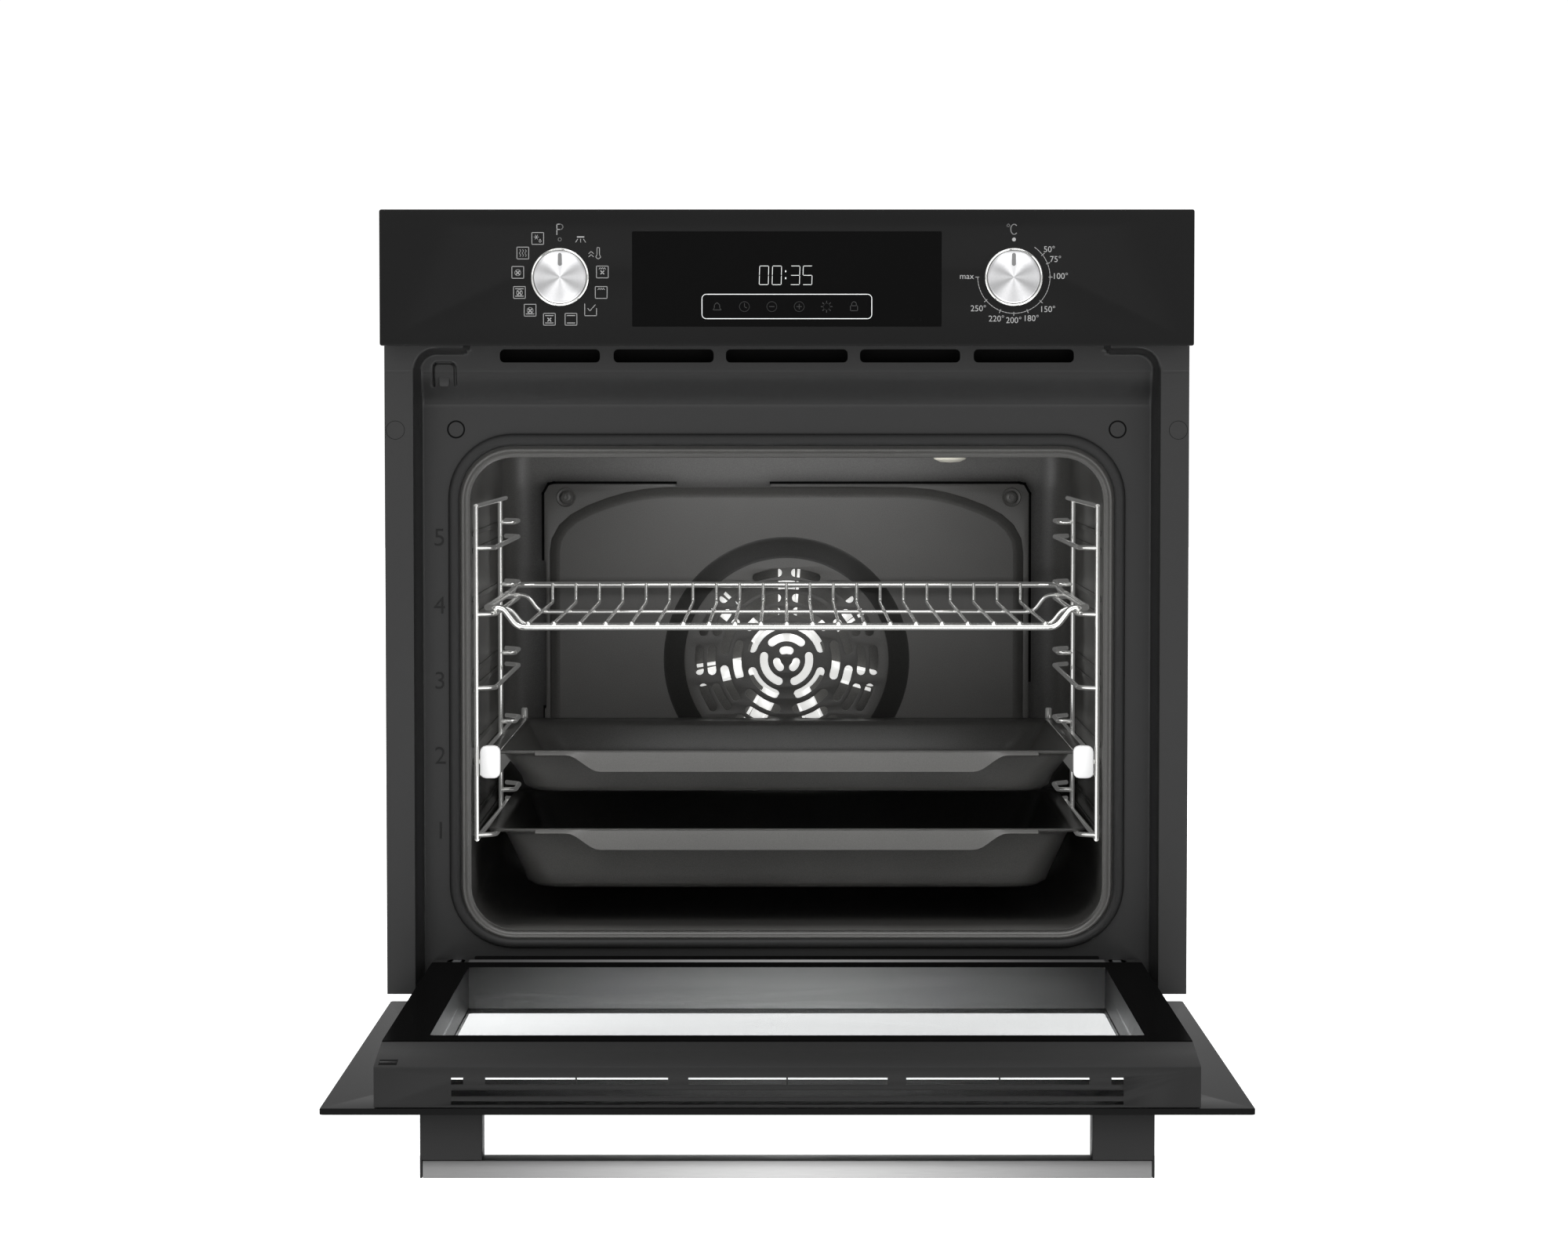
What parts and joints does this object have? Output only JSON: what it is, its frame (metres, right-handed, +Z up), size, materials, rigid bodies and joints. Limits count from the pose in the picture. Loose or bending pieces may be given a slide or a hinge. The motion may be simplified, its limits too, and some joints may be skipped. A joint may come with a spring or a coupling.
{
  "type": "wall oven",
  "caption": "Built-in wall oven with drop-down glass door, bar handle, two pop-out knobs, display, wire shelf, enamel trays, runners and a convection fan.",
  "frame": {"origin": "centre of the base pan's underside, on the niche floor", "axes": "+X right seen from the front, +Y to the back (the door faces -Y), +Z up"},
  "size_m": [0.595, 0.9937, 0.6373],
  "materials": {
    "black_enamel": "semi-gloss black vitreous enamel with a fine orange peel",
    "grey_enamel": "dark grey vitreous enamel with a fine fleck",
    "zinc_steel": "galvanised sheet, dull spangle",
    "chrome_wire": "bright plated wire and sheet",
    "brushed_steel": "fine brushed",
    "black_glass": "black back-printed flat glass",
    "clear_glass": "clear float glass with a black printed border",
    "black_plastic": "fine matt mould texture",
    "white_ceramic": "off-white, matt",
    "gasket_rubber": "matt black silicone",
    "mineral_wool": "fibrous blanket",
    "circuit_board": "green solder mask"
  },
  "bodies": {
    "housing": {"front_frame": "black_enamel", "cavity_liner": "grey_enamel", "cavity_back": "grey_enamel", "fan_cover": "grey_enamel", "side_panel_left": "zinc_steel", "side_panel_right": "zinc_steel", "top_cover": "zinc_steel", "rear_cover": "zinc_steel", "base_pan": "zinc_steel", "air_duct": "zinc_steel", "fan_deck": "zinc_steel", "cooling_fan_housing": "zinc_steel", "convection_motor": "zinc_steel", "hinge_arm_left": "zinc_steel", "hinge_arm_right": "zinc_steel", "runner_fixed_left": "zinc_steel", "runner_fixed_right": "zinc_steel", "side_rack_left": "chrome_wire", "side_rack_right": "chrome_wire", "function_bezel": "chrome_wire", "temperature_bezel": "chrome_wire", "grill_element": "brushed_steel", "bottom_element": "brushed_steel", "ring_element": "brushed_steel", "temperature_probe": "brushed_steel", "control_panel": "black_glass", "lamp_cover": "clear_glass", "terminal_block": "black_plastic", "panel_carrier": "black_plastic", "display_module": "black_plastic", "cooling_fan_motor": "black_plastic", "lamp_bulb": "white_ceramic", "function_selector": "white_ceramic", "temperature_selector": "white_ceramic", "door_gasket": "gasket_rubber", "insulation": "mineral_wool", "control_board": "circuit_board"},
    "door": {"door_outer_glass": "black_glass", "door_middle_glass": "clear_glass", "door_inner_glass": "clear_glass", "door_top_profile": "black_plastic", "door_side_left": "black_plastic", "door_side_right": "black_plastic", "door_bottom_profile": "black_plastic", "handle_bar": "brushed_steel", "handle_post_left": "black_plastic", "handle_post_right": "black_plastic"},
    "function_spindle": {"function_spindle": "zinc_steel"},
    "function_knob": {"function_knob": "brushed_steel"},
    "temperature_spindle": {"temperature_spindle": "zinc_steel"},
    "temperature_knob": {"temperature_knob": "brushed_steel"},
    "convection_fan": {"convection_fan": "chrome_wire"},
    "cooling_fan_wheel": {"cooling_fan_wheel": "zinc_steel"},
    "wire_shelf": {"wire_shelf": "chrome_wire"},
    "tray_lower": {"tray_lower": "grey_enamel"},
    "runner_carriage": {"runner_inner_left": "brushed_steel", "runner_inner_right": "brushed_steel", "tray_upper": "grey_enamel"},
    "runner_middle": {"runner_middle_left": "zinc_steel", "runner_middle_right": "zinc_steel"}
  },
  "joints": [
    {"name": "door_hinge", "type": "hinge", "parent": "housing", "child": "door", "pos_m": [0, -0.28115, 0.0322], "axis": [-1, 0, 0], "range_deg": [0, 90]},
    {"name": "function_turn", "type": "hinge", "parent": "housing", "child": "function_spindle", "pos_m": [-0.1657, -0.28, 0.5457], "axis": [0, 1, 0], "continuous": true},
    {"name": "function_push", "type": "slide", "parent": "function_spindle", "child": "function_knob", "axis": [0, -1, 0], "range_m": [0, 0.018]},
    {"name": "temperature_turn", "type": "hinge", "parent": "housing", "child": "temperature_spindle", "pos_m": [0.1657, -0.28, 0.5457], "axis": [0, 1, 0], "range_deg": [0, 270]},
    {"name": "temperature_push", "type": "slide", "parent": "temperature_spindle", "child": "temperature_knob", "axis": [0, -1, 0], "range_m": [0, 0.018]},
    {"name": "convection_fan_spin", "type": "hinge", "parent": "housing", "child": "convection_fan", "pos_m": [0, 0.13915, 0.2399], "axis": [0, 1, 0], "continuous": true},
    {"name": "cooling_fan_spin", "type": "hinge", "parent": "housing", "child": "cooling_fan_wheel", "pos_m": [0, 0.11215, 0.5224], "axis": [1, 0, 0], "continuous": true},
    {"name": "wire_shelf_slide", "type": "slide", "parent": "housing", "child": "wire_shelf", "axis": [0, 1, 0], "range_m": [-0.25, 0]},
    {"name": "tray_lower_slide", "type": "slide", "parent": "housing", "child": "tray_lower", "axis": [0, 1, 0], "range_m": [-0.25, 0]},
    {"name": "runner_carriage_slide", "type": "slide", "parent": "housing", "child": "runner_carriage", "axis": [0, 1, 0], "range_m": [-0.3, 0]},
    {"name": "runner_middle_slide", "type": "slide", "parent": "housing", "child": "runner_middle", "axis": [0, 1, 0], "range_m": [-0.15, 0]}
  ],
  "couplings": [
    {"joint": "runner_middle_slide", "follows": "runner_carriage_slide", "ratio": 0.5}
  ]
}
